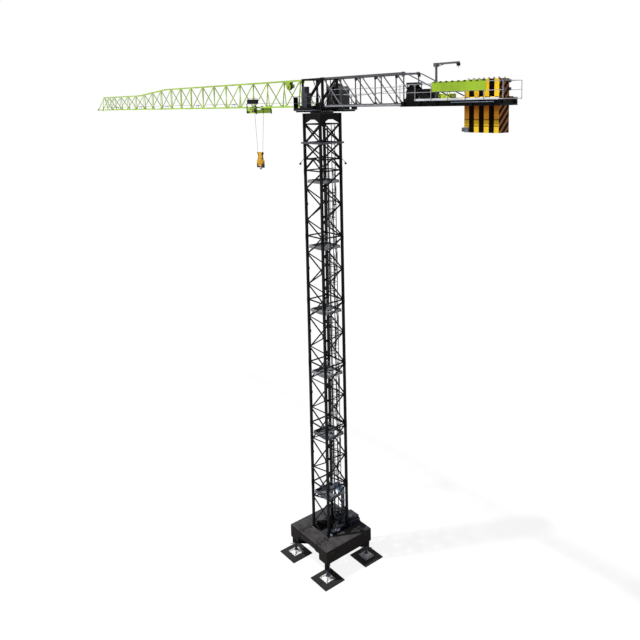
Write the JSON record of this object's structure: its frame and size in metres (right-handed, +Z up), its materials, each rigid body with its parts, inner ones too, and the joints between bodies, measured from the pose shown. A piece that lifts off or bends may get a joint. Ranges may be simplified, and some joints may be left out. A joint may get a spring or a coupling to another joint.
{
  "type": "flat-top tower crane, half-size model",
  "caption": "Half-size model of a flat-top tower crane: ballasted cross base, lattice mast, slewing head, jib with trolley and hook, and a counter-jib with slabs.",
  "frame": {"origin": "on the underside of the cross base's long beam, on the mast's centre line, 0.5 m above the ground under the foot pads", "axes": "+X along the jib at rest, +Y to the jib's left, +Z up"},
  "size_m": [31.875, 3.12, 20.3303],
  "materials": {
    "mast_steel": "satin dark grey paint",
    "head_steel": "satin black paint",
    "counter_jib_steel": "satin grey paint",
    "jib_steel": "satin lime green paint",
    "sign_green": "matt green paint",
    "lime_box": "gloss bright lime paint",
    "platform_mesh": "dull galvanised blue grey",
    "ladder_steel": "galvanised",
    "ballast_concrete": "dark cast concrete, painted",
    "pad_plate": "worn dark grey paint",
    "bearing_plate": "white paint",
    "jack_steel": "oiled steel",
    "ring_steel": "greased steel",
    "cabinet_paint": "satin navy paint",
    "cab_paint": "gloss black paint",
    "cab_glass": "tinted glass",
    "winch_paint": "satin black paint",
    "railing_steel": "galvanised",
    "slab_yellow": "yellow paint on concrete",
    "slab_black": "black paint on concrete",
    "davit_steel": "grey paint",
    "hook_yellow": "worn yellow paint",
    "hook_steel": "forged steel",
    "rope_steel": "greased wire rope",
    "wheel_steel": "cast steel"
  },
  "bodies": {
    "mast": {"ballast_long_blocks": "ballast_concrete", "ballast_side_blocks": "ballast_concrete", "base_cabinets": "cabinet_paint", "bearing_plates": "bearing_plate", "cross_beams": "mast_steel", "foot_pads": "pad_plate", "mast_band": "platform_mesh", "mast_base_section": "mast_steel", "mast_ladder": "ladder_steel", "mast_lamps": "head_steel", "mast_section_2": "mast_steel", "mast_section_3": "mast_steel", "mast_section_4": "mast_steel", "mast_section_5": "mast_steel", "mast_section_6": "mast_steel", "mast_shoes": "mast_steel", "mast_top_section": "mast_steel", "rest_platforms": "platform_mesh", "screw_jacks": "jack_steel", "slewing_ring_lower": "ring_steel"},
    "slewing_part": {"cab_windows": "cab_glass", "control_cabinets": "cabinet_paint", "counter_jib_lattice": "counter_jib_steel", "counterweights_even": "slab_yellow", "counterweights_odd": "slab_black", "davit_post": "davit_steel", "deck_beams": "head_steel", "head_frames": "head_steel", "head_ladder": "ladder_steel", "head_sheave": "head_steel", "hoist_rope_run": "rope_steel", "hoist_winch_frame": "winch_paint", "jib_root_section": "jib_steel", "jib_section_2": "jib_steel", "jib_section_3": "jib_steel", "jib_section_4": "jib_steel", "jib_section_5": "jib_steel", "jib_section_6": "jib_steel", "jib_tip_section": "jib_steel", "operator_cab": "cab_paint", "railings": "railing_steel", "rope_guard_box": "lime_box", "signboard": "sign_green", "slewing_ring_upper": "ring_steel", "tie_bars": "counter_jib_steel", "trolley_winch_frame": "jib_steel", "turntable": "head_steel", "walkways": "platform_mesh"},
    "trolley": {"rope_falls": "rope_steel", "trolley_cage": "head_steel", "trolley_frame": "jib_steel", "trolley_sheaves": "wheel_steel", "trolley_wheels": "wheel_steel"},
    "hook_block": {"hook_block": "hook_yellow", "hook_fittings": "hook_steel"},
    "hook": {"hook": "hook_steel"},
    "davit": {"davit_arm": "davit_steel"},
    "hoist_drum": {"hoist_drum": "winch_paint"},
    "trolley_drum": {"trolley_winch_drum": "jib_steel"}
  },
  "joints": [
    {"name": "slew", "type": "hinge", "parent": "mast", "child": "slewing_part", "pos_m": [0, 0, 18.37], "axis": [0, 0, 1], "continuous": true},
    {"name": "trolley_travel", "type": "slide", "parent": "slewing_part", "child": "trolley", "axis": [1, 0, 0], "range_m": [-1.95, 18]},
    {"name": "hook_hoist", "type": "slide", "parent": "trolley", "child": "hook_block", "axis": [0, 0, 1], "range_m": [-16, 1.4], "deforming": ["rope_falls"]},
    {"name": "hook_swivel", "type": "hinge", "parent": "hook_block", "child": "hook", "pos_m": [4.45, 0, 15.95], "axis": [0, 0, 1], "continuous": true},
    {"name": "davit_swivel", "type": "hinge", "parent": "slewing_part", "child": "davit", "pos_m": [-6.13, 0.262, 19.71], "axis": [0, 0, 1], "continuous": true},
    {"name": "hoist_drum_turn", "type": "hinge", "parent": "slewing_part", "child": "hoist_drum", "pos_m": [-4.935, 0, 18.961], "axis": [0, 1, 0], "continuous": true},
    {"name": "trolley_drum_turn", "type": "hinge", "parent": "slewing_part", "child": "trolley_drum", "pos_m": [2.1, 0, 19.3767], "axis": [0, 1, 0], "continuous": true}
  ]
}
